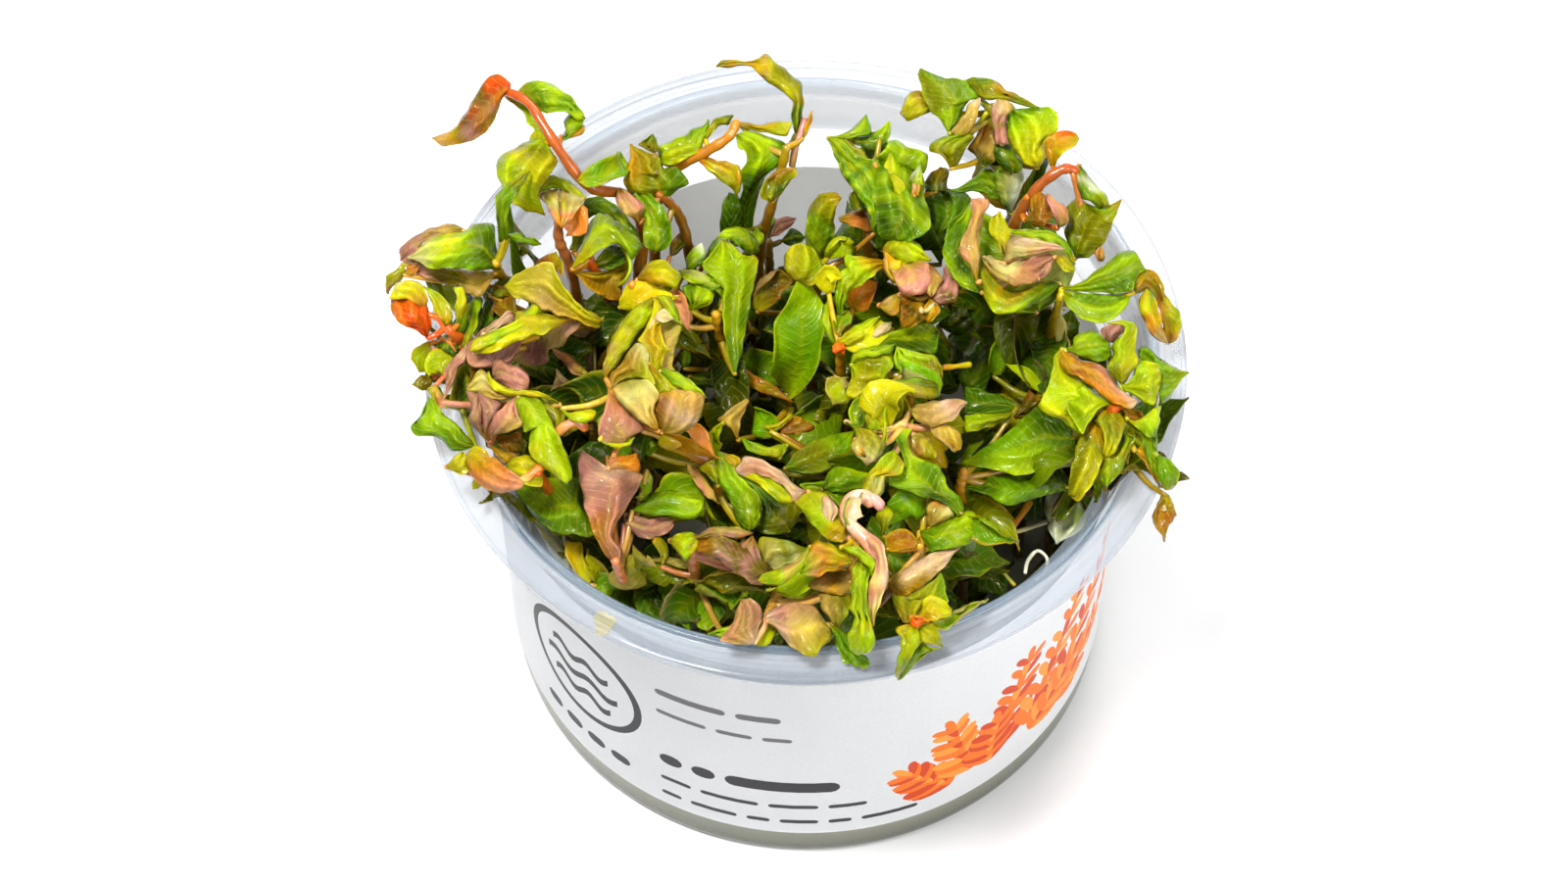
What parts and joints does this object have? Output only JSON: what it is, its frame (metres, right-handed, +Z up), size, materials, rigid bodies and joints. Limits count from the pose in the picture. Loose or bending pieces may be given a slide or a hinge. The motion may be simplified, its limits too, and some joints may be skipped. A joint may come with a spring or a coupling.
{
  "type": "aquarium plant in a cup",
  "caption": "Potted bunch of young aquarium stem plants with green, olive and rosy leaves, in a clear flanged cup with a wrap label.",
  "frame": {"origin": "centre of the cup's base, on the surface that it stands on", "axes": "+Z up, -Y towards the label's front, +X to the right seen from the front"},
  "size_m": [0.1104, 0.1066, 0.0861],
  "materials": {
    "clear_plastic": "gloss",
    "label_sheet": "satin",
    "growth_gel": "satin",
    "leaf_amber": "satin",
    "leaf_blush": "satin",
    "leaf_deep": "satin",
    "leaf_ember": "satin",
    "leaf_green": "satin",
    "leaf_lime": "satin",
    "leaf_mauve": "satin",
    "leaf_olive": "satin",
    "leaf_orange": "satin",
    "leaf_rose": "satin",
    "leaf_salmon": "satin",
    "leaf_tan": "satin",
    "leaf_yellow": "satin"
  },
  "bodies": {
    "root": {"cup": "clear_plastic", "label": "label_sheet", "growth_medium": "growth_gel", "shoot_far_left_arch": "leaf_olive", "shoot_left_pair": "leaf_lime", "shoot_left_bud": "leaf_ember", "shoot_left_edge": "leaf_green", "shoot_mauve_rosette": "leaf_mauve", "shoot_yellow_fold": "leaf_yellow", "shoot_crinkled": "leaf_tan", "shoot_upper_left": "leaf_lime", "shoot_pale_stem": "leaf_salmon", "shoot_olive_tent": "leaf_olive", "shoot_orange_arch": "leaf_amber", "shoot_back_drape": "leaf_green", "shoot_back_star": "leaf_green", "shoot_olive_arch": "leaf_olive", "shoot_tall_leaf": "leaf_lime", "shoot_upper_middle": "leaf_amber", "shoot_dark_left": "leaf_deep", "shoot_centre_blade": "leaf_green", "shoot_lime_star": "leaf_lime", "shoot_orange_crumple": "leaf_salmon", "shoot_olive_crumple": "leaf_olive", "shoot_blush_rosette": "leaf_blush", "shoot_centre_leaf": "leaf_deep", "shoot_broad_right": "leaf_green", "shoot_dark_right": "leaf_deep", "shoot_right_rosette": "leaf_lime", "shoot_right_corner": "leaf_green", "shoot_pale_crumple": "leaf_blush", "shoot_right_broad": "leaf_lime", "shoot_top_right_arch": "leaf_olive", "shoot_top_cluster": "leaf_green", "shoot_front_rosette": "leaf_lime", "shoot_front_tan": "leaf_tan", "shoot_mauve_front": "leaf_mauve", "shoot_green_pair": "leaf_green", "shoot_pink_blade": "leaf_rose", "shoot_orange_left": "leaf_orange", "shoot_front_right": "leaf_yellow", "shoot_right_pointed": "leaf_lime", "shoot_back_wall": "leaf_deep"}
  },
  "joints": []
}
